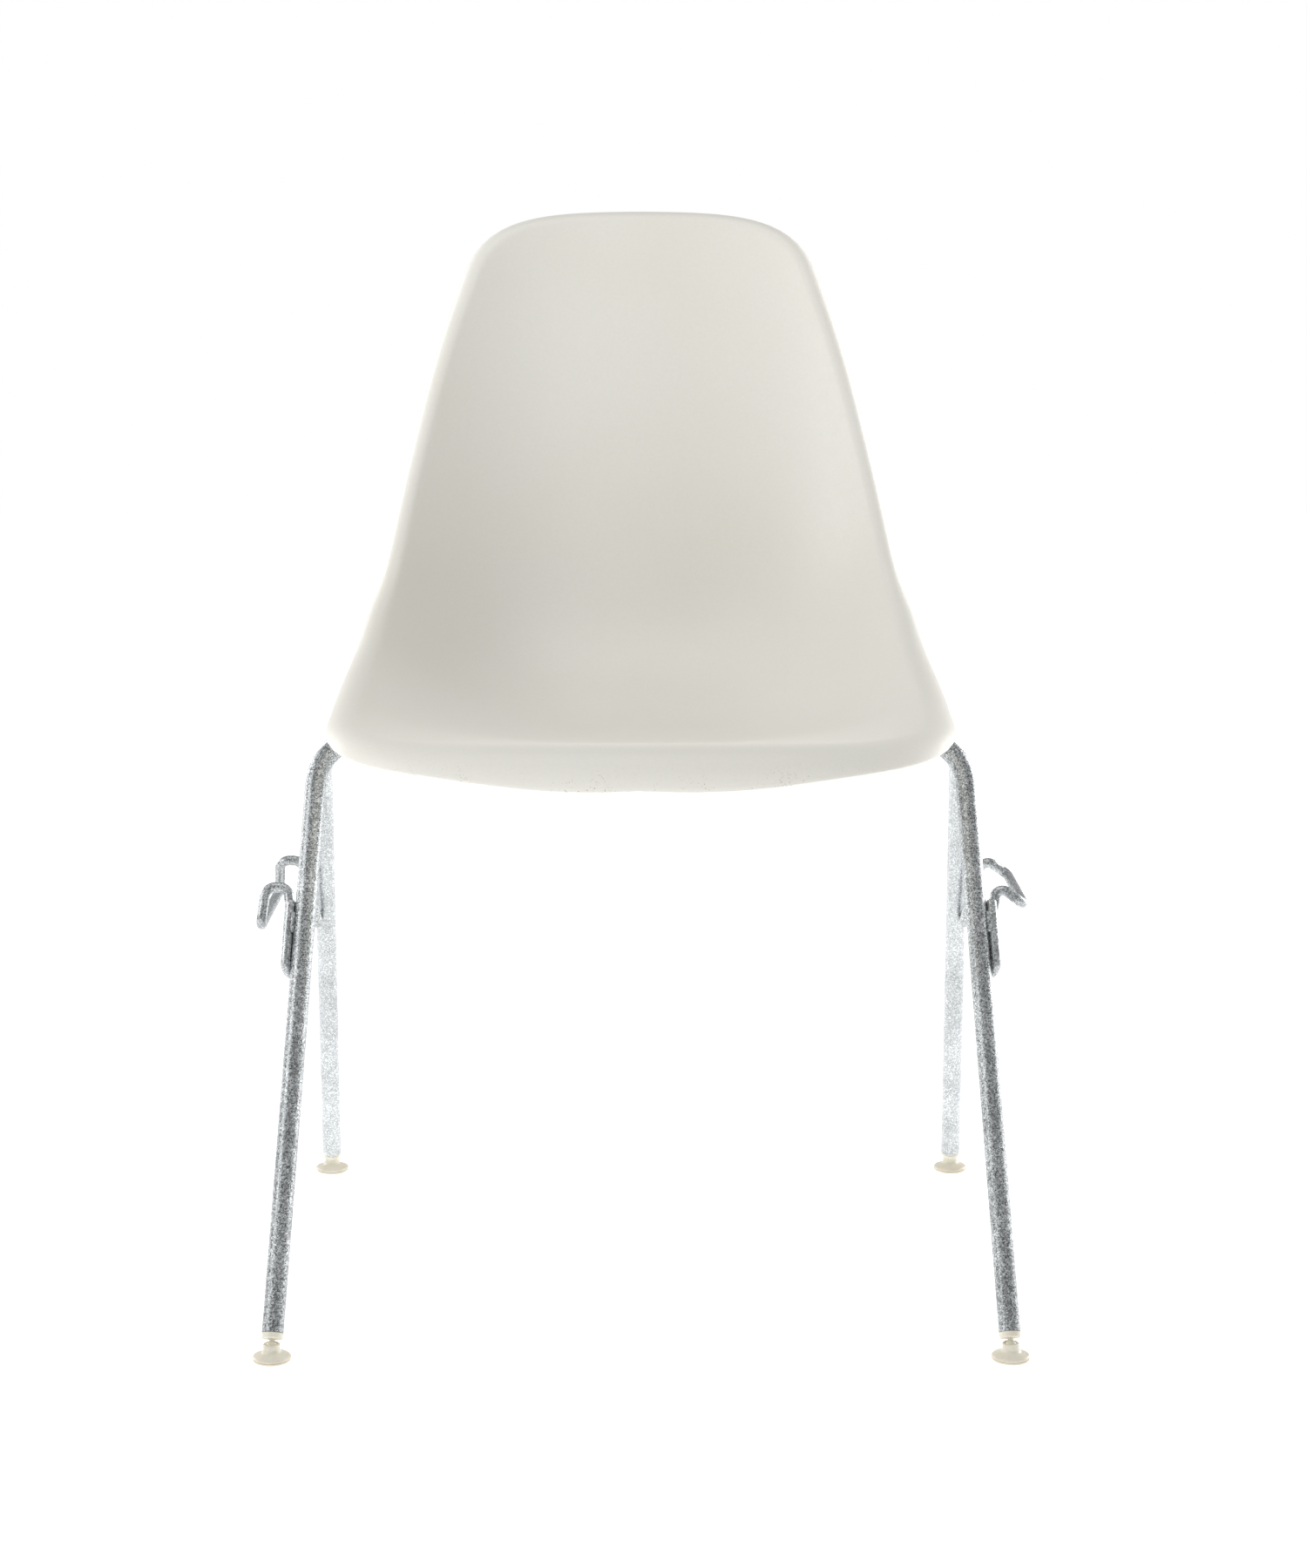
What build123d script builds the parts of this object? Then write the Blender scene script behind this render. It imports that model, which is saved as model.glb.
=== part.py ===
from build123d import *
import os
from math import cos, hypot, pi, sin, tan

import numpy as np

# A stacking side chair: one moulded shell on two bent tube hoops. Millimetres, +Z up.
# The sitter faces -Y, so +X is the sitter's left. The floor is Z = 0.

# ---- stance of the legs ----
FOOT_HALF_WIDTH = 266.3  # leg axis to the centre plane, at the floor
FOOT_SPAN = 463.0  # front leg axis to rear leg axis, at the floor
SPLAY = 0.0497  # a leg comes inward by this much for each mm of height
LEAN = 0.534  # and towards the other hoop by this much
LEG_MID_Y = -21.5  # the plane midway between the front and the rear hoop

# ---- tubes and rods ----
TUBE_OD = 15.875
TUBE_WALL = 1.65
TUBE_END_Z = 19.1  # height of the cut tube end, on the leg axis
HOOP_CORNER_Z = 427.0  # where the leg line meets the falling cross run
HOOP_SAG_Z = 393.0  # axis height of the level middle of the cross run
HOOP_SAG_HALF = 105.0  # half length of that level middle
HOOP_CORNER_RADIUS = 38.0
HOOP_SAG_RADIUS = 150.0
ROD_DIAMETER = 7.94

# ---- seat mounts ----
MOUNT_X = 75.0
MOUNT_Y = 55.0
RAIL_WIDTH = 30.0
RAIL_LENGTH = 156.0
RAIL_THICKNESS = 3.2
RUBBER_DIAMETER = 42.0  # where it would reach its full rise
RUBBER_SKIRT = 33.0  # on the rail
INSERT_DIAMETER = 11.0
INSERT_HEIGHT = 7.0
SCREW_DIAMETER = 6.35
SCREW_HEAD_DIAMETER = 12.2
SCREW_HEAD_HEIGHT = 3.8
SCREW_HOLE = 7.0
WASHER_DIAMETER = 15.0
WASHER_THICKNESS = 1.3

# ---- self-levelling glides ----
BALL_Z = 10.0
BALL_RADIUS = 4.5
BALL_CLEARANCE = 0.05
PIN_RADIUS = 2.0
PIN_HEAD_RADIUS = 3.2
PIN_HEAD_HEIGHT = 1.5
COLLAR_START = 5.8  # along the leg axis, from the ball's centre
COLLAR_LENGTH = 4.5
PLUG_LENGTH = 20.0
PLUG_CAVITY_RADIUS = 4.0
NECK_RADIUS = 6.25
NECK_TOP = 2.5  # above the ball's centre
SOCKET_MOUTH_DEG = 60.0

# ---- moulded shell ----
SHELL_THICKNESS = 4.0
SHELL_CENTRE_Y = -253.0  # turns distances behind the front feet into Y

LEFT, RIGHT = 1, -1
FRONT, REAR = -1, 1
SIDES = {"left": LEFT, "right": RIGHT}
ENDS = {"front": FRONT, "rear": REAR}

os.makedirs("parts", exist_ok=True)


def keep(part, name):
    """Label a finished piece and write it out."""
    part.label = name
    export_step(part, f"parts/{name}.step")


def leg_axis(side, end, height):
    """The point of a leg's axis at a height."""
    x = side * (FOOT_HALF_WIDTH - SPLAY * height)
    y = LEG_MID_Y + end * (FOOT_SPAN / 2 - LEAN * height)
    return Vector(x, y, height)


def leg_direction(side, end):
    """The unit vector up a leg."""
    return Vector(-side * SPLAY, -end * LEAN, 1).normalized()


# ---------------------------------------------------------------- moulded shell
# The sitter's surface is a dish: a centre line from the front crest over the seat and up
# the back, with a cross curve that lifts its sides. Round the dish runs one rolled rim.

# Y from the front feet, Z, half width at the crest of the rim, lift of that crest
DISH = (
    (57, 441, 212, 0),
    (120, 431, 209, 15),
    (190, 419, 208, 34),
    (250, 415, 204, 51),
    (310, 418.5, 200, 64),
    (365, 440, 197, 70),
    (408, 483, 192, 65),
    (436, 545, 184, 54),
    (457, 620, 170, 42),
    (477, 700, 149.5, 30),
    (495, 761, 129, 22),
    (507, 803, 116, 18),
)
DISH_POWER = 3.0
FRONT_CORNER = 100.0  # length of the rounded front corners along the centre line
TOP_CORNER = 64.0
FRONT_POWER = 3.3
TOP_POWER = 3.4

# Rim roll round the outline: front middle, front quarter, front corner, side, top corner, top
RIM_STOPS = (-90, -60, -40, 0, 45, 90)
RIM_RADIUS = (29.5, 28, 24, 11, 10, 12)
RIM_TURN = (95, 90, 68, 106, 98, 80)  # degrees rolled over, from the crest to the edge

# The shell is lofted through closed rings round a patch in the middle of the dish
RING_POINTS = 48
PATCH_RINGS = (0, 0.1, 0.2, 0.3)
DISH_RINGS = (0.4, 0.47, 0.56, 0.68, 0.82, 0.93, 0.98)
RIM_RINGS = (0, 0.2, 0.45, 0.72, 1)
EDGE_ROUNDING = 0.2
EDGE_BULGE = 1.3


def smooth_curve(stops, values):
    """The natural cubic spline through values at the stops, as a function."""
    s = np.asarray(stops, float)
    v = np.asarray(values, float)
    gap = np.diff(s)
    slope = np.diff(v) / gap
    matrix = np.eye(len(s))
    right = np.zeros(len(s))
    for i in range(1, len(s) - 1):
        matrix[i, i - 1 : i + 2] = gap[i - 1], 2 * (gap[i - 1] + gap[i]), gap[i]
        right[i] = 6 * (slope[i] - slope[i - 1])
    bend = np.linalg.solve(matrix, right)

    def value(at, order=0):
        i = np.clip(np.searchsorted(s, at) - 1, 0, len(s) - 2)
        a, b, h = s[i + 1] - at, at - s[i], gap[i]
        if order:
            ends = (v[i + 1] - v[i]) / h - h * (bend[i + 1] - bend[i]) / 6
            return ends + (bend[i + 1] * b**2 - bend[i] * a**2) / (2 * h)
        cubic = (bend[i] * a**3 + bend[i + 1] * b**3) / (6 * h)
        return cubic + (v[i] / h - bend[i] * h / 6) * a + (v[i + 1] / h - bend[i + 1] * h / 6) * b

    return value


dish_y, dish_z, dish_half, dish_lift = np.array(DISH, float).T
dish_stops = np.concatenate([[0], np.cumsum(np.hypot(np.diff(dish_y), np.diff(dish_z)))])
DISH_LENGTH = dish_stops[-1]
line_y = smooth_curve(dish_stops, dish_y + SHELL_CENTRE_Y)
line_z = smooth_curve(dish_stops, dish_z)
half_width = smooth_curve(dish_stops, dish_half)
side_lift = smooth_curve(dish_stops, dish_lift)


def dish_point(x, along):
    """The sitter's surface at x, at a distance along the centre line."""
    along = np.clip(along, 0, DISH_LENGTH)
    run, rise = line_y(along, 1), line_z(along, 1)
    length = np.hypot(run, rise)
    lift = side_lift(along) * (np.abs(x) / half_width(along)) ** DISH_POWER
    return np.array([x, line_y(along) - lift * rise / length, line_z(along) + lift * run / length])


def dish_normal(x, along):
    """The unit normal of the sitter's surface, on the sitter's side."""
    step = 0.5
    across = dish_point(x + step, along) - dish_point(x - step, along)
    onward = dish_point(x, along + step) - dish_point(x, along - step)
    normal = np.cross(across, onward)
    return normal / np.linalg.norm(normal)


def corner_factor(along):
    """How much of the full half width the crest keeps, where the ends round off."""
    front = np.clip(1 - along / FRONT_CORNER, 0, 1) ** FRONT_POWER
    top = np.clip(1 - (DISH_LENGTH - along) / TOP_CORNER, 0, 1) ** TOP_POWER
    return (1 - front) ** (1 / FRONT_POWER) * (1 - top) ** (1 / TOP_POWER)


# The crest of the rim, from the front middle up the left side to the top middle
crest_along = DISH_LENGTH * (1 - np.cos(np.linspace(0, pi, 2001))) / 2
crest_x = half_width(crest_along) * corner_factor(crest_along)
crest_x[0] = crest_x[-1] = 0
crest_run = np.concatenate([[0], np.cumsum(np.hypot(np.diff(crest_x), np.diff(crest_along)))])
front_corner_run = np.interp(0.45 * FRONT_CORNER, crest_along, crest_run)
side_run = np.interp(0.5 * DISH_LENGTH, crest_along, crest_run)
top_corner_run = np.interp(DISH_LENGTH - 0.35 * TOP_CORNER, crest_along, crest_run)
RUN_STOPS = (0, front_corner_run * 0.82, side_run, top_corner_run, crest_run[-1])
run_at = smooth_curve((-90, -45, 0, 45, 90), RUN_STOPS)
MIRRORED_STOPS = (-120, *RIM_STOPS, 135)  # so that both curves lie level at the centre line
rim_radius = smooth_curve(MIRRORED_STOPS, (RIM_RADIUS[1], *RIM_RADIUS, RIM_RADIUS[-2]))
rim_turn = smooth_curve(MIRRORED_STOPS, (RIM_TURN[1], *RIM_TURN, RIM_TURN[-2]))


def crest_at(turn):
    """Crest of the rim as (x, along), where turn is -90 at the front and 90 at the top."""
    run = run_at(turn)
    return np.interp(run, crest_run, crest_x), np.interp(run, crest_run, crest_along)


def dish_place(turn, side, ring):
    """The sitter's surface where ring is 0 at the middle of the dish and 1 at the crest."""
    rim_x, rim_along = crest_at(turn)
    middle = DISH_LENGTH / 2
    oval_x = half_width(middle) * cos(turn * pi / 180)
    oval_along = middle * sin(turn * pi / 180)
    x = side * ring * (oval_x + ring**2 * (rim_x - oval_x))
    along = middle + ring * (oval_along + ring**2 * (rim_along - middle - oval_along))
    return dish_point(x, along), dish_normal(x, along)


def rim_place(turn, side, rolled):
    """Point, normal and outward direction where rolled is 0 at the crest and 1 at the edge."""
    point, normal = dish_place(turn, side, 1)
    ahead = dish_place(min(turn + 0.5, 90), side, 1)[0]
    back = dish_place(max(turn - 0.5, -90), side, 1)[0]
    outward = side * np.cross(ahead - back, normal)
    outward /= np.linalg.norm(outward)
    roll = rolled * rim_turn(turn) * pi / 180
    point = point + rim_radius(turn) * (sin(roll) * outward - (1 - cos(roll)) * normal)
    return (
        point,
        cos(roll) * normal + sin(roll) * outward,
        cos(roll) * outward - sin(roll) * normal,
    )


left_turns = [(turn, LEFT) for turn in np.linspace(-90, 90, RING_POINTS // 2 + 1)]
right_turns = [(turn, RIGHT) for turn, side in left_turns[-2:0:-1]]
RING_TURNS = left_turns + right_turns


def closed_wire(points):
    """A smooth closed wire through the points."""
    return Wire([Edge.make_spline([Vector(*point) for point in points], periodic=True)])


def dish_wire(ring, depth):
    """A ring of the dish, a depth below the sitter's surface."""
    places = [dish_place(turn, side, ring) for turn, side in RING_TURNS]
    return closed_wire([point - depth * normal for point, normal in places])


def rim_wire(rolled, depth, bulge=0):
    """A ring of the rolled rim, a depth below its surface and standing out by a bulge."""
    places = [rim_place(turn, side, rolled) for turn, side in RING_TURNS]
    return closed_wire([point - depth * normal + bulge * out for point, normal, out in places])


def shell_side(depth):
    """The faces of one side of the shell: a patch in the middle and a loft out to the edge."""
    first = dish_wire(DISH_RINGS[0], depth)
    inside = []
    for ring in PATCH_RINGS:
        for turn, side in RING_TURNS[:: 4 if ring else RING_POINTS]:
            point, normal = dish_place(turn, side, ring)
            inside.append(Vector(*(point - depth * normal)))
    patch = Face.make_surface(first, surface_points=inside)
    dish = [dish_wire(ring, depth) for ring in DISH_RINGS[1:]]
    rim = [rim_wire(rolled, depth) for rolled in RIM_RINGS]
    return [patch, *Shell.make_loft([first, *dish, *rim]).faces()]


def shell_edge():
    """The rounded edge between the two sides."""
    near, far = EDGE_ROUNDING, 1 - EDGE_ROUNDING
    top, bottom = rim_wire(1, 0), rim_wire(1, SHELL_THICKNESS)
    crown = [rim_wire(1, SHELL_THICKNESS * share, EDGE_BULGE) for share in (near, far)]
    return Shell.make_loft([top, *crown, bottom]).faces()


with BuildPart() as seat_shell:
    add(Solid(Shell([*shell_side(0), *shell_side(SHELL_THICKNESS), *shell_edge()])))
keep(seat_shell.part, "seat_shell")

# ---------------------------------------------------------------- tube hoops
# Each hoop lies in one sloping plane: up a leg, round a tight bend, down to a level
# middle under the seat, and the same again to the other leg.
PLANE_STRETCH = hypot(1, LEAN)  # distance up the sloping plane for each mm of height


def hoop_plane(end):
    """The plane of a hoop: x across the chair, y up the slope, from the floor."""
    origin = (0, LEG_MID_Y + end * FOOT_SPAN / 2, 0)
    return Plane(origin, x_dir=(1, 0, 0), z_dir=(0, -1, -end * LEAN))


def hoop_corners():
    """Corner points of a hoop's axis in its own plane, from the left foot to the right foot."""
    heights = (TUBE_END_Z, HOOP_CORNER_Z)
    leg = [(FOOT_HALF_WIDTH - SPLAY * z, z * PLANE_STRETCH) for z in heights]
    half = [*leg, (HOOP_SAG_HALF, HOOP_SAG_Z * PLANE_STRETCH)]
    return half + [(-x, y) for x, y in reversed(half)]


for end_name, end in ENDS.items():
    with BuildPart() as hoop:
        with BuildLine(hoop_plane(end)) as axis:
            bends = (HOOP_CORNER_RADIUS, HOOP_SAG_RADIUS, HOOP_SAG_RADIUS, HOOP_CORNER_RADIUS)
            FilletPolyline(*hoop_corners(), radius=bends)
        with BuildSketch(Plane(axis.line @ 0, z_dir=axis.line % 0)):
            Circle(TUBE_OD / 2)
            Circle(TUBE_OD / 2 - TUBE_WALL, mode=Mode.SUBTRACT)
        sweep(path=axis.line)
    keep(hoop.part, f"{end_name}_hoop")


# ---------------------------------------------------------------- mount rails
# A flat strap lies front to back across both hoops on each side, and is welded to them.
RAIL_BOTTOM = HOOP_SAG_Z + TUBE_OD / 2
RAIL_TOP = RAIL_BOTTOM + RAIL_THICKNESS
MOUNT_ENDS = [(0, LEG_MID_Y + end * MOUNT_Y) for end in ENDS.values()]

for side_name, side in SIDES.items():
    with BuildPart() as rail:
        with BuildSketch(Plane((side * MOUNT_X, 0, RAIL_BOTTOM))):
            with Locations((0, LEG_MID_Y)):
                SlotOverall(RAIL_LENGTH, RAIL_WIDTH, rotation=90)
            with Locations(*MOUNT_ENDS):
                Circle(SCREW_HOLE / 2, mode=Mode.SUBTRACT)
        extrude(amount=RAIL_THICKNESS)
    keep(rail.part, f"mount_rail_{side_name}")

# ---------------------------------------------------------------- shock mounts
# A rubber disc is bonded under the shell and holds a threaded steel insert. A screw and
# a washer come up through the rail into it.
INSERT_FLANGE = 17.0
INSERT_FLANGE_HEIGHT = 1.6
RUBBER_RISE = 24.0  # tall enough to reach into the shell, which trims it
SCREW_HEAD_ROUNDING = 1.4
SCREW_STOPS_SHORT = 0.8  # of the top of the insert
DRIVE_SLOT = 1.4
DRIVE_SPAN = 7.0
DRIVE_DEPTH = 2.2

with BuildPart() as under_shell:
    with BuildSketch(Plane.XY.offset(RAIL_TOP)):
        with Locations((0, LEG_MID_Y)):
            Rectangle(4 * MOUNT_X, 4 * MOUNT_Y)
    extrude(amount=4 * RUBBER_RISE)
    add(seat_shell.part, mode=Mode.SUBTRACT)
room_below_shell = under_shell.part.solids().sort_by(Axis.Z)[0]

for side_name, side in SIDES.items():
    for end_name, end in ENDS.items():
        corner = f"{end_name}_{side_name}"
        x, y = side * MOUNT_X, LEG_MID_Y + end * MOUNT_Y

        with BuildPart() as insert:
            with BuildSketch(Plane((x, y, RAIL_TOP))):
                Circle(INSERT_DIAMETER / 2)
            extrude(amount=INSERT_HEIGHT)
            with BuildSketch(Plane((x, y, RAIL_TOP + INSERT_HEIGHT - INSERT_FLANGE_HEIGHT))):
                RegularPolygon(INSERT_FLANGE / 2, 8)
            extrude(amount=INSERT_FLANGE_HEIGHT)
            with BuildSketch(Plane((x, y, RAIL_TOP))):
                Circle(SCREW_DIAMETER / 2)
            extrude(amount=INSERT_HEIGHT, mode=Mode.SUBTRACT)
        keep(insert.part, f"mount_insert_{corner}")

        with BuildPart() as rubber:
            with BuildSketch(Plane((x, y, RAIL_TOP))):
                Circle(RUBBER_SKIRT / 2)
            with BuildSketch(Plane((x, y, RAIL_TOP + RUBBER_RISE))):
                Circle(RUBBER_DIAMETER / 2)
            loft()
            add(room_below_shell, mode=Mode.INTERSECT)
            with BuildSketch(Plane((x, y, RAIL_TOP))):
                Circle(INSERT_DIAMETER / 2)
            extrude(amount=INSERT_HEIGHT, mode=Mode.SUBTRACT)
            add(insert.part, mode=Mode.SUBTRACT)
        keep(rubber.part, f"shock_mount_{corner}")

        with BuildPart() as washer:
            with BuildSketch(Plane((x, y, RAIL_BOTTOM - WASHER_THICKNESS))):
                Circle(WASHER_DIAMETER / 2)
                Circle(SCREW_HOLE / 2, mode=Mode.SUBTRACT)
            extrude(amount=WASHER_THICKNESS)
        keep(washer.part, f"mount_washer_{corner}")

        head_top = RAIL_BOTTOM - WASHER_THICKNESS
        with BuildPart() as screw:
            with BuildSketch(Plane((x, y, head_top - SCREW_HEAD_HEIGHT))):
                Circle(SCREW_HEAD_DIAMETER / 2)
            extrude(amount=SCREW_HEAD_HEIGHT)
            fillet(screw.edges().group_by(Axis.Z)[0], SCREW_HEAD_ROUNDING)
            with BuildSketch(Plane((x, y, head_top))):
                Circle(SCREW_DIAMETER / 2)
            extrude(amount=RAIL_TOP + INSERT_HEIGHT - SCREW_STOPS_SHORT - head_top)
            with BuildSketch(Plane((x, y, head_top - SCREW_HEAD_HEIGHT))):
                Rectangle(DRIVE_SLOT, DRIVE_SPAN)
                Rectangle(DRIVE_SPAN, DRIVE_SLOT)
            extrude(amount=DRIVE_DEPTH, mode=Mode.SUBTRACT)
        keep(screw.part, f"mount_screw_{corner}")

# ---------------------------------------------------------------- ganging rods
# One bent rod a side, the same front to back: a stub welded along the front leg, a turn
# at its foot, an arm up beside the leg, an arch outward, and a bar across to the rear.
STUB_TOP = 304.0
STUB_FOOT = 251.0
STUB_OUT = (TUBE_OD + ROD_DIAMETER) / 2
ARM_FOOT_OUT = 4.5
ARM_BACK = 17.0  # from the leg's axis towards the other hoop

# Height and distance out from the leg's axis at the arch's two corners and at the bar
ARCH_CORNERS = {
    "right": ((309.5, 16.1), (309.5, 33.1), (282.0, 34.6)),
    "left": ((311.5, 18.5), (297.0, 38.0)),
}
ROD_BENDS = {
    "right": (8.5, 8.5, 8.0, 8.0, 6.0),
    "left": (8.5, 8.5, 6.2, 6.0),
}


def beside_leg(side, end, height, out, back=0.0):
    """A point beside a leg: out from its axis, and back towards the other hoop."""
    return leg_axis(side, end, height) + Vector(side * out, -end * back, 0)


for side_name, side in SIDES.items():
    halves = []
    for end in (FRONT, REAR):
        half = [
            beside_leg(side, end, STUB_TOP, STUB_OUT),
            beside_leg(side, end, STUB_FOOT, STUB_OUT),
            beside_leg(side, end, STUB_FOOT, ARM_FOOT_OUT, ARM_BACK),
        ]
        half += [beside_leg(side, end, z, out, ARM_BACK) for z, out in ARCH_CORNERS[side_name]]
        halves.append(half)
    bends = ROD_BENDS[side_name]
    with BuildPart() as rod:
        with BuildLine() as axis:
            FilletPolyline(*halves[0], *reversed(halves[1]), radius=(*bends, *reversed(bends)))
        with BuildSketch(Plane(axis.line @ 0, z_dir=axis.line % 0)):
            Circle(ROD_DIAMETER / 2)
        sweep(path=axis.line)
        fillet(rod.faces().filter_by(GeomType.PLANE).edges(), 2.5)
    keep(rod.part, f"gang_rod_{side_name}")

# ---------------------------------------------------------------- weld beads
ROD_BEAD_RADIUS = 2.3
ROD_BEAD_LENGTH = 12.0
RAIL_BEAD_RADIUS = 2.2
RAIL_BEAD_LENGTH = 20.0


def bead(start, finish, radius):
    """A round-ended run of weld from start to finish."""
    with BuildPart() as run:
        with BuildSketch(Plane(start, z_dir=finish - start)):
            Circle(radius)
        extrude(amount=(finish - start).length)
        with Locations(start, finish):
            Sphere(radius)
    return run.part


with BuildPart() as rod_welds:
    for side in SIDES.values():
        for end in ENDS.values():
            up = leg_direction(side, end)
            top = beside_leg(side, end, STUB_TOP - 9, TUBE_OD / 2 + 0.6) + Vector(0, end * 3.4, 0)
            add(bead(top - up * ROD_BEAD_LENGTH, top, ROD_BEAD_RADIUS))
keep(rod_welds.part, "rod_welds")

with BuildPart() as rail_welds:
    for side in SIDES.values():
        for end in ENDS.values():
            hoop_y = LEG_MID_Y + end * (FOOT_SPAN / 2 - LEAN * HOOP_SAG_Z)
            for edge in (-1, 1):
                x = side * MOUNT_X + edge * (RAIL_WIDTH / 2 + 0.4)
                middle = Vector(x, hoop_y, RAIL_BOTTOM + 0.2)
                reach = Vector(0, 3.0, 0)
                add(bead(middle - reach, middle + reach, RAIL_BEAD_RADIUS))
keep(rail_welds.part, "rail_welds")

# ---------------------------------------------------------------- glides
# A nylon plug fills each tube end and shows as a collar. A ball stud turns in the plug,
# and the nylon foot snaps over its ball, so the foot lies flat whatever the leg's slope.
TUBE_ID = TUBE_OD - 2 * TUBE_WALL
COLLAR_CHAMFER = 0.6
STUD_TOP = COLLAR_START + COLLAR_LENGTH + 12.0  # underside of the stud's rivet head
HEAD_GAP = 0.1

# The foot's outline, as radius and height: a thin lower disc, a groove, an upper disc that
# slopes in to the neck, and the neck that grips the ball
FOOT_RIM = (
    (12.8, 0),
    (13.7, 0.8),
    (13.7, 1.7),
    (13.1, 1.9),
    (13.1, 2.3),
    (13.9, 2.6),
    (13.9, 3.3),
    (13.0, 4.2),
)
FOOT_CONE_TOP = (8.4, 6.1)
FOOT_NECK_START = (NECK_RADIUS, 8.4)
FOOT_TOP = BALL_Z + NECK_TOP
FOOT_NECK_TOP = ((NECK_RADIUS, FOOT_TOP - 0.5), (NECK_RADIUS - 0.5, FOOT_TOP), (0, FOOT_TOP))
SOCKET_MOUTH = NECK_TOP * tan(SOCKET_MOUTH_DEG * pi / 180)  # leaves the stud room to tilt

for side_name, side in SIDES.items():
    for end_name, end in ENDS.items():
        corner = f"{end_name}_{side_name}"
        ball = leg_axis(side, end, BALL_Z)
        up = leg_direction(side, end)
        leg_plane = Plane(ball, x_dir=Vector(0, 0, 1).cross(up), z_dir=up)

        with BuildPart() as plug:
            with BuildSketch(leg_plane.offset(COLLAR_START)):
                Circle(TUBE_OD / 2)
            extrude(amount=COLLAR_LENGTH)
            chamfer(plug.edges(), COLLAR_CHAMFER)
            with BuildSketch(leg_plane.offset(COLLAR_START + COLLAR_LENGTH - COLLAR_CHAMFER)):
                Circle(TUBE_ID / 2)
            extrude(amount=PLUG_LENGTH + COLLAR_CHAMFER)
            with BuildSketch(leg_plane.offset(COLLAR_START)):
                Circle(PIN_RADIUS + BALL_CLEARANCE)
            extrude(amount=COLLAR_LENGTH + PLUG_LENGTH, mode=Mode.SUBTRACT)
            with BuildSketch(leg_plane.offset(STUD_TOP)):
                Circle(PLUG_CAVITY_RADIUS)
            extrude(amount=PLUG_LENGTH, mode=Mode.SUBTRACT)
        keep(plug.part, f"glide_plug_{corner}")

        with BuildPart() as stud:
            with Locations(ball):
                Sphere(BALL_RADIUS)
            with BuildSketch(leg_plane):
                Circle(PIN_RADIUS)
            extrude(amount=STUD_TOP + PIN_HEAD_HEIGHT)
            with BuildSketch(leg_plane.offset(STUD_TOP + HEAD_GAP)):
                Circle(PIN_HEAD_RADIUS)
            extrude(amount=PIN_HEAD_HEIGHT)
        keep(stud.part, f"ball_stud_{corner}")

        with BuildPart() as foot:
            foot_section = Plane((ball.X, ball.Y, 0), x_dir=(1, 0, 0), z_dir=(0, -1, 0))
            foot_axis = Axis((ball.X, ball.Y, 0), (0, 0, 1))
            with BuildSketch(foot_section):
                with BuildLine():
                    rim = Polyline((0, 0), *FOOT_RIM)
                    cone = Line(rim @ 1, FOOT_CONE_TOP)
                    neck = TangentArc(cone @ 1, FOOT_NECK_START, tangent=cone % 1)
                    Polyline(neck @ 1, *FOOT_NECK_TOP, (0, 0))
                make_face()
            revolve(axis=foot_axis)
            with Locations(ball):
                Sphere(BALL_RADIUS + BALL_CLEARANCE, mode=Mode.SUBTRACT)
            with BuildSketch(foot_section):
                Polygon((0, BALL_Z), (SOCKET_MOUTH, FOOT_TOP), (0, FOOT_TOP), align=None)
            revolve(axis=foot_axis, mode=Mode.SUBTRACT)
        keep(foot.part, f"glide_foot_{corner}")
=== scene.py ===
import math

import bpy
import numpy as np
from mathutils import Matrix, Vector


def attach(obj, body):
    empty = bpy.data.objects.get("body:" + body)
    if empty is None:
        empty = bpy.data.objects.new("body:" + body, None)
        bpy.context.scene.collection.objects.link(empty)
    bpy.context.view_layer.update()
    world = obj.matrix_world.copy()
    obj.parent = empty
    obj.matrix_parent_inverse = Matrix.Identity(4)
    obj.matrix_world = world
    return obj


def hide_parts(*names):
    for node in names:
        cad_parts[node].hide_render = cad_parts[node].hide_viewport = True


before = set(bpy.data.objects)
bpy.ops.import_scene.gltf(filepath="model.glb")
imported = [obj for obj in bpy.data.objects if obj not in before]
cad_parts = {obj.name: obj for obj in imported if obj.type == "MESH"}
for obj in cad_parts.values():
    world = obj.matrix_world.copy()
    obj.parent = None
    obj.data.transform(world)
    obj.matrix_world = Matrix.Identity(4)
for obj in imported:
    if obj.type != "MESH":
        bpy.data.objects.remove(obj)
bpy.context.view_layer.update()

MM = 0.001
LEFT, RIGHT = 1, -1
FRONT, REAR = -1, 1

# ---------------------------------------------------------------- the moulded shell's shape
# The formulas and values of the CAD shell, in millimetres until the points become a mesh.
THICKNESS = 4.0
CENTRE_Y = -253.0

# Distance behind the front feet, height, half width at the crest, lift of the crest
DISH = (
    (57, 441, 212, 0),
    (120, 431, 209, 15),
    (190, 419, 208, 34),
    (250, 415, 204, 51),
    (310, 418.5, 200, 64),
    (365, 440, 197, 70),
    (408, 483, 192, 65),
    (436, 545, 184, 54),
    (457, 620, 170, 42),
    (477, 700, 149.5, 30),
    (495, 761, 129, 22),
    (507, 803, 116, 18),
)
DISH_POWER = 3.0
FRONT_CORNER = 100.0
TOP_CORNER = 64.0
FRONT_POWER = 3.3
TOP_POWER = 3.4

# Rim roll at the front middle, front quarter, front corner, side, top corner and top
RIM_STOPS = (-90, -60, -40, 0, 45, 90)
RIM_RADIUS = (29.5, 28, 24, 11, 10, 12)
RIM_TURN = (95, 90, 68, 106, 98, 80)


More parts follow.
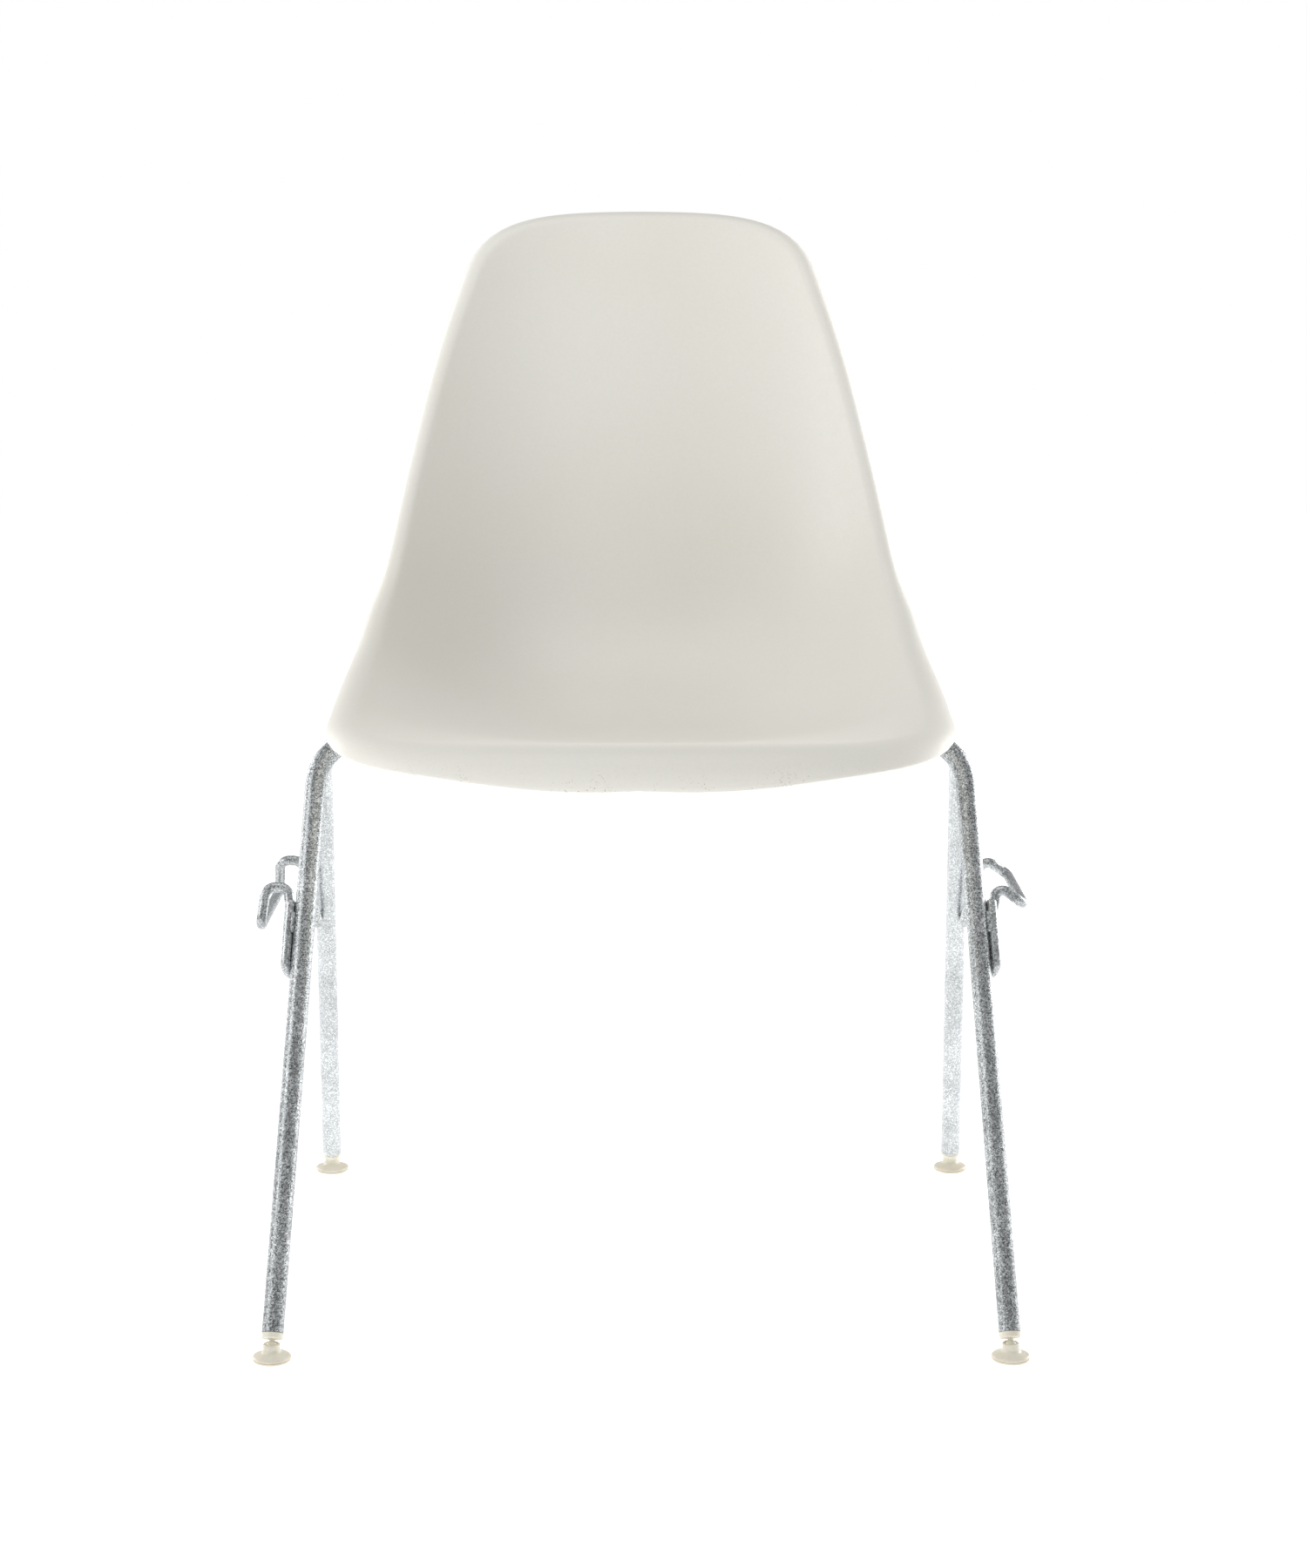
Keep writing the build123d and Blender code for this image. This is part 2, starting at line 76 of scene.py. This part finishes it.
def smooth_curve(stops, values):
    """The natural cubic spline through values at the stops, as a function of an array."""
    s = np.asarray(stops, float)
    v = np.asarray(values, float)
    gap = np.diff(s)
    slope = np.diff(v) / gap
    matrix = np.eye(len(s))
    right = np.zeros(len(s))
    for i in range(1, len(s) - 1):
        matrix[i, i - 1 : i + 2] = gap[i - 1], 2 * (gap[i - 1] + gap[i]), gap[i]
        right[i] = 6 * (slope[i] - slope[i - 1])
    bend = np.linalg.solve(matrix, right)

    def value(at, order=0):
        i = np.clip(np.searchsorted(s, at) - 1, 0, len(s) - 2)
        a, b, h = s[i + 1] - at, at - s[i], gap[i]
        if order:
            ends = (v[i + 1] - v[i]) / h - h * (bend[i + 1] - bend[i]) / 6
            return ends + (bend[i + 1] * b**2 - bend[i] * a**2) / (2 * h)
        cubic = (bend[i] * a**3 + bend[i + 1] * b**3) / (6 * h)
        return cubic + (v[i] / h - bend[i] * h / 6) * a + (v[i + 1] / h - bend[i + 1] * h / 6) * b

    return value


dish_y, dish_z, dish_half, dish_lift = np.array(DISH, float).T
dish_stops = np.concatenate([[0], np.cumsum(np.hypot(np.diff(dish_y), np.diff(dish_z)))])
DISH_LENGTH = dish_stops[-1]
line_y = smooth_curve(dish_stops, dish_y + CENTRE_Y)
line_z = smooth_curve(dish_stops, dish_z)
half_width = smooth_curve(dish_stops, dish_half)
side_lift = smooth_curve(dish_stops, dish_lift)


def dish_point(x, along):
    """Points of the sitter's surface at x and at distances along the centre line."""
    along = np.clip(along, 0, DISH_LENGTH)
    run, rise = line_y(along, 1), line_z(along, 1)
    length = np.hypot(run, rise)
    lift = side_lift(along) * (np.abs(x) / half_width(along)) ** DISH_POWER
    y = line_y(along) - lift * rise / length
    z = line_z(along) + lift * run / length
    return np.stack([x, y, z], axis=-1)


def unit(vectors):
    return vectors / np.linalg.norm(vectors, axis=-1, keepdims=True)


def dish_normal(x, along):
    """Unit normals of the sitter's surface, on the sitter's side."""
    step = 0.5  # millimetres to each side
    across = dish_point(x + step, along) - dish_point(x - step, along)
    onward = dish_point(x, along + step) - dish_point(x, along - step)
    return unit(np.cross(across, onward))


def corner_factor(along):
    """How much of the full half width the crest keeps, where the ends round off."""
    front = np.clip(1 - along / FRONT_CORNER, 0, 1) ** FRONT_POWER
    top = np.clip(1 - (DISH_LENGTH - along) / TOP_CORNER, 0, 1) ** TOP_POWER
    return (1 - front) ** (1 / FRONT_POWER) * (1 - top) ** (1 / TOP_POWER)


CREST_SAMPLES = 2001
crest_along = DISH_LENGTH * (1 - np.cos(np.linspace(0, math.pi, CREST_SAMPLES))) / 2
crest_x = half_width(crest_along) * corner_factor(crest_along)
crest_x[0] = crest_x[-1] = 0
crest_run = np.concatenate([[0], np.cumsum(np.hypot(np.diff(crest_x), np.diff(crest_along)))])
front_corner_run = np.interp(0.45 * FRONT_CORNER, crest_along, crest_run) * 0.82
side_run = np.interp(0.5 * DISH_LENGTH, crest_along, crest_run)
top_corner_run = np.interp(DISH_LENGTH - 0.35 * TOP_CORNER, crest_along, crest_run)
run_stops = (0, front_corner_run, side_run, top_corner_run, crest_run[-1])
run_at = smooth_curve((-90, -45, 0, 45, 90), run_stops)
# One mirrored stop past each end keeps both curves nearly level at the centre line
MIRRORED_STOPS = (-120, *RIM_STOPS, 135)
rim_radius = smooth_curve(MIRRORED_STOPS, (RIM_RADIUS[1], *RIM_RADIUS, RIM_RADIUS[-2]))
rim_turn = smooth_curve(MIRRORED_STOPS, (RIM_TURN[1], *RIM_TURN, RIM_TURN[-2]))


def crest_at(turn):
    """Crest of the rim as (x, along), where turn is -90 at the front and 90 at the top."""
    run = run_at(turn)
    return np.interp(run, crest_run, crest_x), np.interp(run, crest_run, crest_along)


def dish_place(turn, side, ring):
    """Points and normals where ring is 0 at the middle of the dish and 1 at the crest."""
    rim_x, rim_along = crest_at(turn)
    middle = DISH_LENGTH / 2
    oval_x = half_width(middle) * np.cos(np.radians(turn))
    oval_along = middle * np.sin(np.radians(turn))
    x = side * ring * (oval_x + ring**2 * (rim_x - oval_x))
    along = middle + ring * (oval_along + ring**2 * (rim_along - middle - oval_along))
    return dish_point(x, along), dish_normal(x, along)


def rim_place(turn, side, rolled):
    """Points, normals and outward directions, from the crest at 0 to the edge at 1."""
    point, normal = dish_place(turn, side, 1)
    ahead = dish_place(np.minimum(turn + 0.5, 90), side, 1)[0]
    back = dish_place(np.maximum(turn - 0.5, -90), side, 1)[0]
    outward = unit(side[:, None] * np.cross(ahead - back, normal))
    roll = np.radians(rolled * rim_turn(turn))[:, None]
    radius = rim_radius(turn)[:, None]
    point = point + radius * (np.sin(roll) * outward - (1 - np.cos(roll)) * normal)
    return (
        point,
        np.cos(roll) * normal + np.sin(roll) * outward,
        np.cos(roll) * outward - np.sin(roll) * normal,
    )


# ---------------------------------------------------------------- mesh helpers
def mesh_object(name, points, faces):
    """A smooth-shaded mesh object from points in millimetres."""
    mesh = bpy.data.meshes.new(name)
    mesh.from_pydata([tuple(p) for p in np.asarray(points) * MM], [], faces)
    mesh.validate()
    mesh.shade_smooth()
    obj = bpy.data.objects.new(name, mesh)
    bpy.context.scene.collection.objects.link(obj)
    return obj


def strip(lower, upper):
    """Quads between two closed loops of point numbers."""
    count = len(lower)
    faces = []
    for i in range(count):
        following = (i + 1) % count
        faces.append((lower[i], lower[following], upper[following], upper[i]))
    return faces


# ---------------------------------------------------------------- the shell's mesh
# A square patch in the middle of the dish, then closed loops out to the crest, round the
# rim, over its rounded edge and back under the shell.
PATCH = 56  # quads along each side of the middle patch
PATCH_REACH = 0.42  # how far the patch reaches, as a share of the way to the crest
PATCH_ROUNDING = 0.6  # 0 leaves the patch square, 1 makes it a circle
DISH_LOOPS = 44
RIM_LOOPS = 18
EDGE_LOOPS = 7
EDGE_BULGE = 1.3


def patch_places():
    """The middle patch's points row by row, on a plan where the crest has a radius of 1."""
    steps = np.linspace(-1, 1, PATCH + 1)
    a, b = np.meshgrid(steps, steps)
    a, b = a.ravel(), b.ravel()
    p = PATCH_REACH * a * (1 - PATCH_ROUNDING + PATCH_ROUNDING * np.sqrt(1 - b**2 / 2))
    q = PATCH_REACH * b * (1 - PATCH_ROUNDING + PATCH_ROUNDING * np.sqrt(1 - a**2 / 2))
    return p, q


def polar(p, q):
    """The (turn, side, ring) arrays that dish_place takes."""
    turn = np.degrees(np.arctan2(q, np.abs(p)))
    return turn, np.where(p < 0, -1.0, 1.0), np.hypot(p, q)


def patch_border():
    """Point numbers round the patch, from its front right corner towards the left."""
    row = PATCH + 1
    front = list(range(PATCH))
    left = [PATCH + i * row for i in range(PATCH)]
    back = [row * row - 1 - i for i in range(PATCH)]
    right = [row * PATCH - i * row for i in range(PATCH)]
    return front + left + back + right


def shell_mesh():
    """Points and faces of the whole shell: its top, its underside and the edge between."""
    row = PATCH + 1
    p, q = patch_places()
    border = patch_border()
    angle = np.radians(-135 + 90 * np.arange(4 * PATCH) / PATCH)
    rim_p, rim_q = np.cos(angle), np.sin(angle)
    points, normals = dish_place(*polar(p, q))
    layers = [(points, normals)]
    for step in range(1, DISH_LOOPS + 1):
        share = step / DISH_LOOPS
        ring_p = p[border] * (1 - share) + rim_p * share
        ring_q = q[border] * (1 - share) + rim_q * share
        layers.append(dish_place(*polar(ring_p, ring_q)))
    turn, side, _ = polar(rim_p, rim_q)
    for step in range(1, RIM_LOOPS + 1):
        layers.append(rim_place(turn, side, step / RIM_LOOPS)[:2])
    top = np.concatenate([point for point, normal in layers])
    under = np.concatenate([point - THICKNESS * normal for point, normal in layers])

    rim_point, rim_normal, rim_out = rim_place(turn, side, 1.0)
    edge = []
    for step in range(1, EDGE_LOOPS):
        sweep = math.pi * step / EDGE_LOOPS
        depth = THICKNESS * (1 - math.cos(sweep)) / 2
        edge.append(rim_point - depth * rim_normal + EDGE_BULGE * math.sin(sweep) * rim_out)

    loop = 4 * PATCH
    patch = row * row
    count = len(top)
    faces = []
    for j in range(PATCH):
        for i in range(PATCH):
            k = j * row + i
            faces.append((k, k + 1, k + row + 1, k + row))
    loops = [border]
    for start in range(patch, count, loop):
        loops.append(list(range(start, start + loop)))
    for inner, outer in zip(loops, loops[1:]):
        faces += strip(outer, inner)
    faces_under = [tuple(count + k for k in reversed(face)) for face in faces]
    chain = [loops[-1]]
    for step in range(len(edge)):
        chain.append(list(range(2 * count + step * loop, 2 * count + (step + 1) * loop)))
    chain.append([count + k for k in loops[-1]])
    for near, far in zip(chain, chain[1:]):
        faces_under += strip(far, near)
    return np.concatenate([top, under, *edge]), faces + faces_under


shell = mesh_object("shell_moulding", *shell_mesh())
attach(shell, "frame")
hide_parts("seat_shell")

# ---------------------------------------------------------------- weld beads
FOOT_HALF_WIDTH = 266.3
FOOT_SPAN = 463.0
SPLAY = 0.0497
LEAN = 0.534
LEG_MID_Y = -21.5
TUBE_OD = 15.875
HOOP_SAG_Z = 393.0
STUB_TOP = 304.0
RAIL_BOTTOM = HOOP_SAG_Z + TUBE_OD / 2
RAIL_WIDTH = 30.0
MOUNT_X = 75.0
LEG_BEAD_RADIUS = 2.25
LEG_BEAD_LENGTH = 12.0
LEG_BEAD_TOP = STUB_TOP - 9
LEG_BEAD_GAP = 0.6  # from the tube's surface out to the bead's centre line
LEG_BEAD_SHIFT = 3.4  # along Y, away from the other hoop
RAIL_BEAD_RADIUS = 2.15
RAIL_BEAD_HALF = 3.0
RAIL_BEAD_GAP = 0.4  # outside the rail's edge
RAIL_BEAD_RISE = 0.2  # above the rail's underside
BEAD_AROUND = 20
BEAD_STEPS = 56
RIPPLE_PITCH = 1.5  # millimetres from one ripple of a weld to the next
RIPPLE_LAG = 0.35  # millimetres that a ripple trails round the bead
RIPPLE_DEPTH = 0.05  # as a share of the bead's radius
WANDER_DEPTH = 0.04
MEAN_GIRTH = 0.94
PHASE_STEP = 1.7  # radians between the ripples of one bead and the next
ANY_DIRECTION = (0.31, 0.17, 0.93)  # not along any bead


def leg_axis(side, end, height):
    """The point of a leg's centre line at a height."""
    x = side * (FOOT_HALF_WIDTH - SPLAY * height)
    y = LEG_MID_Y + end * (FOOT_SPAN / 2 - LEAN * height)
    return np.array([x, y, height])


def bead(start, finish, radius, phase):
    """A weld bead: a round-ended ridge whose ripples lie like stacked coins."""
    axis = unit(finish - start)
    across = unit(np.cross(axis, ANY_DIRECTION))
    up = np.cross(axis, across)
    length = np.linalg.norm(finish - start) + 2 * radius
    points = []
    for i in range(1, BEAD_STEPS):
        travel = length * (1 - math.cos(math.pi * i / BEAD_STEPS)) / 2
        end_gap = min(travel, length - travel, radius)
        girth = math.sqrt(max(radius**2 - (radius - end_gap) ** 2, 0))
        for j in range(BEAD_AROUND):
            angle = 2 * math.pi * j / BEAD_AROUND
            lag = RIPPLE_LAG * math.cos(angle - phase)
            ripple = math.cos(2 * math.pi * (travel + lag) / RIPPLE_PITCH + phase)
            wander = math.sin(travel * 0.9 + phase + 2 * math.sin(angle))
            size = girth * (MEAN_GIRTH + RIPPLE_DEPTH * ripple + WANDER_DEPTH * wander)
            spoke = math.cos(angle) * across + math.sin(angle) * up
            points.append(start + axis * (travel - radius) + size * spoke)
    first = len(points)
    points += [start - axis * radius, finish + axis * radius]
    faces = []
    for i in range(BEAD_STEPS - 2):
        base = i * BEAD_AROUND
        lower = list(range(base, base + BEAD_AROUND))
        faces += strip(lower, [k + BEAD_AROUND for k in lower])
    last = (BEAD_STEPS - 2) * BEAD_AROUND
    for j in range(BEAD_AROUND):
        k = (j + 1) % BEAD_AROUND
        faces.append((first, k, j))
        faces.append((first + 1, last + j, last + k))
    return points, faces


def bead_object(name, beads):
    """One object from several (start, finish, radius) beads."""
    points, faces = [], []
    for number, (start, finish, radius) in enumerate(beads):
        more, more_faces = bead(start, finish, radius, PHASE_STEP * number)
        faces += [tuple(k + len(points) for k in face) for face in more_faces]
        points += more
    return mesh_object(name, points, faces)


leg_beads, rail_beads = [], []
for side in (LEFT, RIGHT):
    for end in (FRONT, REAR):
        up = unit(np.array([-side * SPLAY, -end * LEAN, 1.0]))
        beside = (side * (TUBE_OD / 2 + LEG_BEAD_GAP), end * LEG_BEAD_SHIFT, 0)
        top = leg_axis(side, end, LEG_BEAD_TOP) + beside
        leg_beads.append((top - up * LEG_BEAD_LENGTH, top, LEG_BEAD_RADIUS))
        hoop_y = LEG_MID_Y + end * (FOOT_SPAN / 2 - LEAN * HOOP_SAG_Z)
        reach = np.array([0, RAIL_BEAD_HALF, 0])
        for edge in (-1, 1):
            bead_x = side * MOUNT_X + edge * (RAIL_WIDTH / 2 + RAIL_BEAD_GAP)
            middle = np.array([bead_x, hoop_y, RAIL_BOTTOM + RAIL_BEAD_RISE])
            rail_beads.append((middle - reach, middle + reach, RAIL_BEAD_RADIUS))

rod_weld_beads = bead_object("rod_weld_beads", leg_beads)
rail_weld_beads = bead_object("rail_weld_beads", rail_beads)
for piece, node in ((rod_weld_beads, "rod_welds"), (rail_weld_beads, "rail_welds")):
    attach(piece, "frame")
    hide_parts(node)


# ---------------------------------------------------------------- materials
class Finish:
    """A material under construction, with short names for the nodes it uses."""

    def __init__(self, name):
        self.material = bpy.data.materials.new(name)
        self.material.use_nodes = True
        self.nodes = self.material.node_tree.nodes
        self.links = self.material.node_tree.links
        self.shader = self.nodes["Principled BSDF"]
        self.coords = self.nodes.new("ShaderNodeTexCoord").outputs["Object"]

    def join(self, source, target):
        self.links.new(source, target)

    def noise(self, scale, detail=3.0, roughness=0.55):
        node = self.nodes.new("ShaderNodeTexNoise")
        node.inputs["Scale"].default_value = scale
        node.inputs["Detail"].default_value = detail
        node.inputs["Roughness"].default_value = roughness
        self.join(self.coords, node.inputs["Vector"])
        return node.outputs["Fac"]

    def cells(self, scale, output="Color"):
        node = self.nodes.new("ShaderNodeTexVoronoi")
        node.inputs["Scale"].default_value = scale
        self.join(self.coords, node.inputs["Vector"])
        return node.outputs[output]

    def ramp(self, value, *stops):
        """A colour ramp through (position, colour) stops, where a colour may be one number."""
        node = self.nodes.new("ShaderNodeValToRGB")
        elements = node.color_ramp.elements
        while len(elements) < len(stops):
            elements.new(0.5)
        for element, (position, colour) in zip(elements, stops):
            element.position = position
            colour = (colour,) * 3 if isinstance(colour, (int, float)) else colour
            element.color = (*colour, 1)
        self.join(value, node.inputs["Fac"])
        return node.outputs["Color"]

    def mix(self, share, first, second, blend="MIX"):
        """Mixes two colours, each a socket or a colour, by a share that may be a socket."""
        node = self.nodes.new("ShaderNodeMix")
        node.data_type = "RGBA"
        node.blend_type = blend
        sockets = (node.inputs[0], node.inputs[6], node.inputs[7])
        for socket, value in zip(sockets, (share, first, second)):
            if isinstance(value, bpy.types.NodeSocket):
                self.join(value, socket)
            else:
                socket.default_value = value if socket.type == "VALUE" else (*value, 1)
        return node.outputs[2]

    def math(self, operation, first, second):
        node = self.nodes.new("ShaderNodeMath")
        node.operation = operation
        for socket, value in zip(node.inputs, (first, second)):
            if isinstance(value, bpy.types.NodeSocket):
                self.join(value, socket)
            else:
                socket.default_value = value
        return node.outputs[0]

    def axis(self, name, low, high):
        """0 at or below low and 1 at or above high, along one axis, in metres."""
        split = self.nodes.new("ShaderNodeSeparateXYZ")
        self.join(self.coords, split.inputs[0])
        node = self.nodes.new("ShaderNodeMapRange")
        node.inputs["From Min"].default_value = low
        node.inputs["From Max"].default_value = high
        self.join(split.outputs[name], node.inputs["Value"])
        return node.outputs[0]

    def bump(self, height, strength, distance, before=None):
        node = self.nodes.new("ShaderNodeBump")
        node.inputs["Strength"].default_value = strength
        node.inputs["Distance"].default_value = distance
        self.join(height, node.inputs["Height"])
        if before:
            self.join(before, node.inputs["Normal"])
        return node.outputs["Normal"]

    def finish(self, colour, roughness, normal, **values):
        self.join(colour, self.shader.inputs["Base Color"])
        self.join(roughness, self.shader.inputs["Roughness"])
        self.join(normal, self.shader.inputs["Normal"])
        for name, value in values.items():
            self.shader.inputs[name.replace("_", " ")].default_value = value
        return self.material


def moulded_shell():
    f = Finish("moulded_shell")
    drift = f.ramp(f.noise(5, 2), (0.3, (0.865, 0.845, 0.765)), (0.7, (0.885, 0.870, 0.810)))
    mottle = f.ramp(f.noise(420, 4, 0.7), (0.3, 0.965), (0.7, 1.0))
    colour = f.mix(1.0, drift, mottle, "MULTIPLY")
    pits = f.ramp(f.cells(520, "Distance"), (0.16, 1), (0.30, 0))
    patches = f.ramp(f.noise(38, 4, 0.65), (0.47, 0), (0.56, 1))
    low = f.math("SUBTRACT", 1.0, f.axis("Z", 0.413, 0.432))
    front = f.math("SUBTRACT", 1.0, f.axis("Y", -0.215, -0.180))
    worn = f.math("MULTIPLY", f.math("MULTIPLY", pits, patches), f.math("MULTIPLY", low, front))
    colour = f.mix(worn, colour, (0.50, 0.45, 0.36))
    roughness = f.ramp(f.noise(160, 4), (0.3, 0.38), (0.7, 0.48))
    peel = f.bump(f.noise(900, 2), 0.10, 0.0004)
    pitted = f.bump(f.math("SUBTRACT", 1.0, worn), 0.5, 0.0004, peel)
    wave = f.bump(f.noise(14, 1), 0.12, 0.002, pitted)
    return f.finish(colour, roughness, wave, IOR=1.46)


def zinc_plate(name, dark, grain_dark, relief):
    """Spangled zinc: dark and grain_dark are the tones of its darkest cells and grains."""
    f = Finish(name)
    cell = f.cells(1150)
    middle = (1 + dark) / 2
    tone = f.ramp(cell, (0.20, dark), (0.45, middle * 0.85), (0.62, middle), (0.80, 1.0))
    grain = f.ramp(f.noise(1500, 4, 0.75), (0.40, grain_dark), (0.58, 1.0))
    colour = f.mix(1.0, tone, grain, "MULTIPLY")
    clouds = f.ramp(f.noise(26, 4, 0.6), (0.36, 0.80), (0.62, 1.0))
    colour = f.mix(1.0, colour, clouds, "MULTIPLY")
    colour = f.mix(1.0, colour, (0.94, 0.98, 1.0), "MULTIPLY")
    roughness = f.ramp(cell, (0.25, 0.26), (0.75, 0.46))
    normal = f.bump(cell, relief, 0.0003)
    normal = f.bump(f.noise(1500, 3, 0.7), relief, 0.0003, normal)
    return f.finish(colour, roughness, normal, Metallic=0.9)


def plain_steel():
    f = Finish("plain_steel")
    colour = f.ramp(f.noise(900, 3), (0.3, 0.52), (0.7, 0.66))
    roughness = f.ramp(f.noise(400, 2), (0.3, 0.28), (0.7, 0.38))
    return f.finish(colour, roughness, f.bump(f.noise(1400, 2), 0.1, 0.0002), Metallic=1.0)


def black_rubber():
    f = Finish("black_rubber")
    colour = f.ramp(f.noise(300, 4), (0.3, (0.018, 0.018, 0.019)), (0.7, (0.032, 0.031, 0.030)))
    roughness = f.ramp(f.noise(180, 3), (0.3, 0.62), (0.7, 0.78))
    return f.finish(colour, roughness, f.bump(f.noise(1300, 3), 0.3, 0.0003))


def ivory_nylon():
    f = Finish("ivory_nylon")
    clouds = f.ramp(f.noise(120, 3), (0.3, (0.72, 0.68, 0.56)), (0.7, (0.79, 0.76, 0.66)))
    scuffs = f.ramp(f.noise(1100, 4, 0.7), (0.30, 0.90), (0.5, 1.0))
    colour = f.mix(1.0, clouds, scuffs, "MULTIPLY")
    roughness = f.ramp(f.noise(700, 3), (0.3, 0.30), (0.7, 0.45))
    normal = f.bump(f.noise(1200, 2), 0.12, 0.0003)
    glow = {"Subsurface_Weight": 0.15, "Subsurface_Scale": 0.004}
    return f.finish(colour, roughness, normal, IOR=1.53, **glow)


zinc = zinc_plate("zinc_plated_steel", 0.26, 0.50, 0.40)
nylon = ivory_nylon()
# Painted light: the rear hoop is the same zinc plate as the front hoop, made paler and lower in
# contrast to stand in for the brighter light on the rear legs
rear_hoop_painted_light_zinc = zinc_plate("zinc_painted_light_rear", 0.50, 0.74, 0.25)
drawn_zinc = zinc_plate("zinc_drawn_rod", 0.40, 0.62, 0.22)
LOOKS = {
    "front_hoop": zinc,
    # the rear hoop's zinc is lightened by painted light
    "rear_hoop": rear_hoop_painted_light_zinc,
    "mount_rail": zinc,
    "gang_rod": drawn_zinc,
    "rod_welds": zinc,
    "rail_welds": zinc,
    "mount_washer": zinc,
    "mount_screw": zinc,
    "mount_insert": plain_steel(),
    "ball_stud": nylon,
    "shock_mount": black_rubber(),
    "glide": nylon,
    "seat_shell": moulded_shell(),
}


def dress(obj, material):
    obj.data.materials.clear()
    obj.data.materials.append(material)


for name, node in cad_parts.items():
    prefix = next(start for start in LOOKS if name.startswith(start))
    dress(node, LOOKS[prefix])
dress(shell, LOOKS["seat_shell"])
dress(rod_weld_beads, zinc)
dress(rail_weld_beads, zinc)

# ---------------------------------------------------------------- studio
scene = bpy.context.scene
scene.view_settings.view_transform = "Standard"

# A white cyclorama: pure white where it is seen, and a soft even light of lower strength
WHITE = (1, 1, 1, 1)
AMBIENT = 0.45
FLOOR_GLOW = 0.62  # keeps the floor as white as the backdrop
FLOOR_REACH = 6.0
world = bpy.data.worlds.new("studio")
world.use_nodes = True
world_nodes = world.node_tree.nodes
world_links = world.node_tree.links
backdrop = world_nodes["Background"]
backdrop.inputs["Color"].default_value = WHITE
backdrop.inputs["Strength"].default_value = 1.0
ambient = world_nodes.new("ShaderNodeBackground")
ambient.inputs["Color"].default_value = WHITE
ambient.inputs["Strength"].default_value = AMBIENT
seen = world_nodes.new("ShaderNodeLightPath")
either = world_nodes.new("ShaderNodeMixShader")
world_links.new(seen.outputs["Is Camera Ray"], either.inputs[0])
world_links.new(ambient.outputs[0], either.inputs[1])
world_links.new(backdrop.outputs[0], either.inputs[2])
world_links.new(either.outputs[0], world_nodes["World Output"].inputs["Surface"])
scene.world = world

floor_mesh = bpy.data.meshes.new("floor")
signs = ((-1, -1), (1, -1), (1, 1), (-1, 1))
corners = [(x * FLOOR_REACH, y * FLOOR_REACH, 0) for x, y in signs]
floor_mesh.from_pydata(corners, [], [(0, 1, 2, 3)])
floor = bpy.data.objects.new("floor", floor_mesh)
scene.collection.objects.link(floor)
pale = bpy.data.materials.new("floor")
pale.use_nodes = True
pale_shader = pale.node_tree.nodes["Principled BSDF"]
pale_shader.inputs["Base Color"].default_value = (0.9, 0.9, 0.9, 1)
pale_shader.inputs["Roughness"].default_value = 0.9
pale_shader.inputs["Emission Color"].default_value = WHITE
pale_shader.inputs["Emission Strength"].default_value = FLOOR_GLOW
floor.data.materials.append(pale)


def soft_light(name, place, aim, size, power):
    """A square area light aimed at a point."""
    light = bpy.data.lights.new(name, "AREA")
    light.size = size
    light.energy = power
    lamp = bpy.data.objects.new(name, light)
    scene.collection.objects.link(lamp)
    lamp.location = place
    lamp.rotation_euler = (Vector(aim) - Vector(place)).to_track_quat("-Z", "Y").to_euler()


MIDDLE = (0, 0, 0.45)
soft_light("key_left", (-2.3, -0.9, 1.5), MIDDLE, 1.0, 17)
soft_light("edge_left", (-1.9, 1.2, 0.9), MIDDLE, 1.2, 17)
soft_light("edge_right", (1.9, 1.0, 0.8), MIDDLE, 1.2, 30)
soft_light("overhead", (0, -0.3, 2.6), MIDDLE, 1.3, 9)

# The camera looks slightly down from sitting height, in front of the chair
CAMERA_PLACE = (0.0, -2.3979, 0.8188)
CAMERA_DOWN = 0.1827
CAMERA_TO_RIGHT = math.radians(0.233)
CAMERA_LENS = 72.18
camera_data = bpy.data.cameras.new("camera")
camera_data.sensor_width = 36.0
camera_data.lens = CAMERA_LENS
camera = bpy.data.objects.new("camera", camera_data)
scene.collection.objects.link(camera)
camera.location = CAMERA_PLACE
camera.rotation_euler = (math.pi / 2 - CAMERA_DOWN, 0, -CAMERA_TO_RIGHT)
scene.camera = camera
